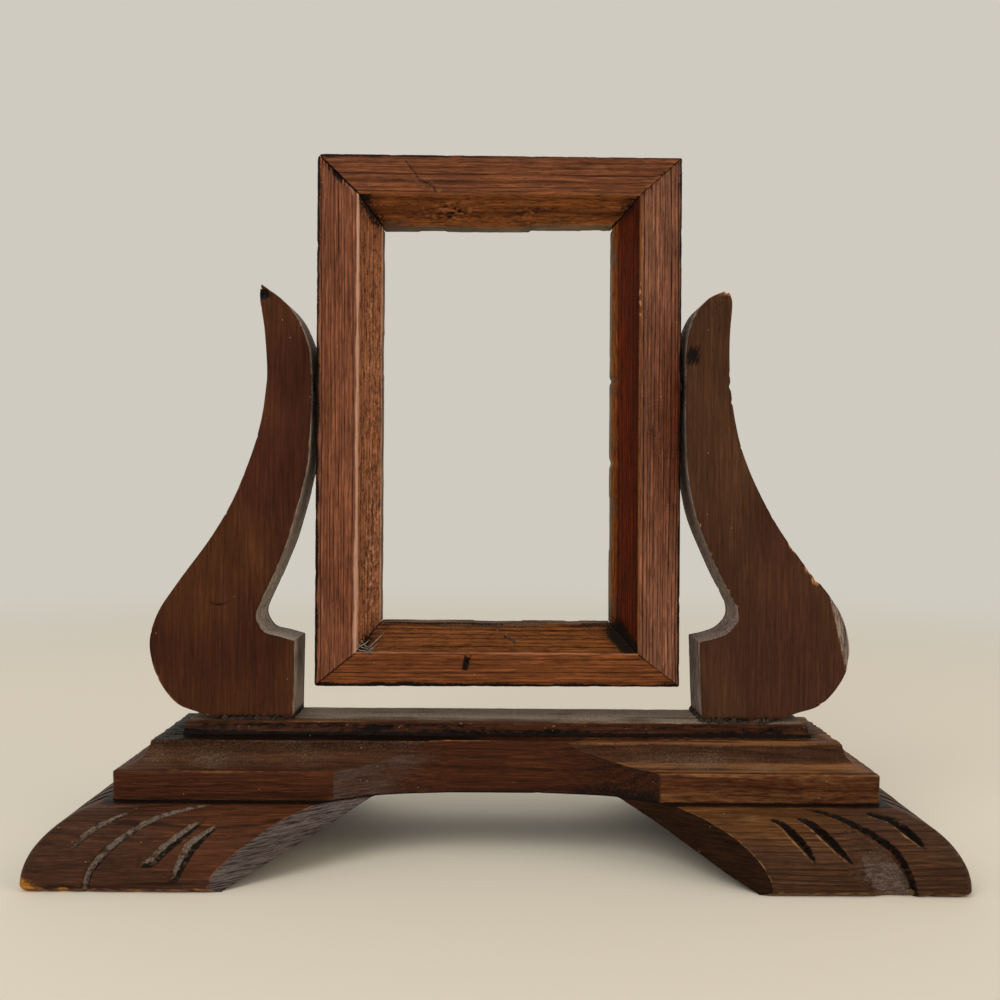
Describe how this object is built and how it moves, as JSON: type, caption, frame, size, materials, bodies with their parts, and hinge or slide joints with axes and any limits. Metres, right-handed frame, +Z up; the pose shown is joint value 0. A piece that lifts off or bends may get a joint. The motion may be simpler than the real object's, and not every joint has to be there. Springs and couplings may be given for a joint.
{
  "type": "swing mirror stand",
  "caption": "Tabletop swing mirror stand: an empty mitred frame pivots between S-scroll uprights on a moulded base with carved bracket feet.",
  "frame": {"origin": "on the floor under the middle of the stand, at the centre of the bottom of its bounding box", "axes": "+X to the right seen from the front, -Y towards the front, +Z up"},
  "size_m": [0.3712, 0.1292, 0.305],
  "materials": {
    "frame_wood": "worn reddish stain over pine, satin",
    "upright_wood": "dark brown stain over pine, satin",
    "base_wood": "dark brown stain over pine, worn and dusty",
    "foot_wood": "dark brown stain over pine, worn through at the floor",
    "screw_steel": "dull, lightly rusted",
    "brad_steel": "dark, dull"
  },
  "bodies": {
    "stand": {"base_plate": "base_wood", "left_foot": "foot_wood", "right_foot": "foot_wood", "left_upright": "upright_wood", "right_upright": "upright_wood", "left_pivot_screw": "screw_steel", "right_pivot_screw": "screw_steel", "left_upright_screws": "screw_steel", "right_upright_screws": "screw_steel", "left_foot_screws": "screw_steel", "right_foot_screws": "screw_steel"},
    "mirror_frame": {"top_rail": "frame_wood", "bottom_rail": "frame_wood", "left_stile": "frame_wood", "right_stile": "frame_wood", "mitre_brads": "brad_steel", "bent_brad": "brad_steel"}
  },
  "joints": [
    {"name": "frame_tilt", "type": "hinge", "parent": "stand", "child": "mirror_frame", "pos_m": [0, 0, 0.204], "axis": [1, 0, 0], "continuous": true}
  ]
}
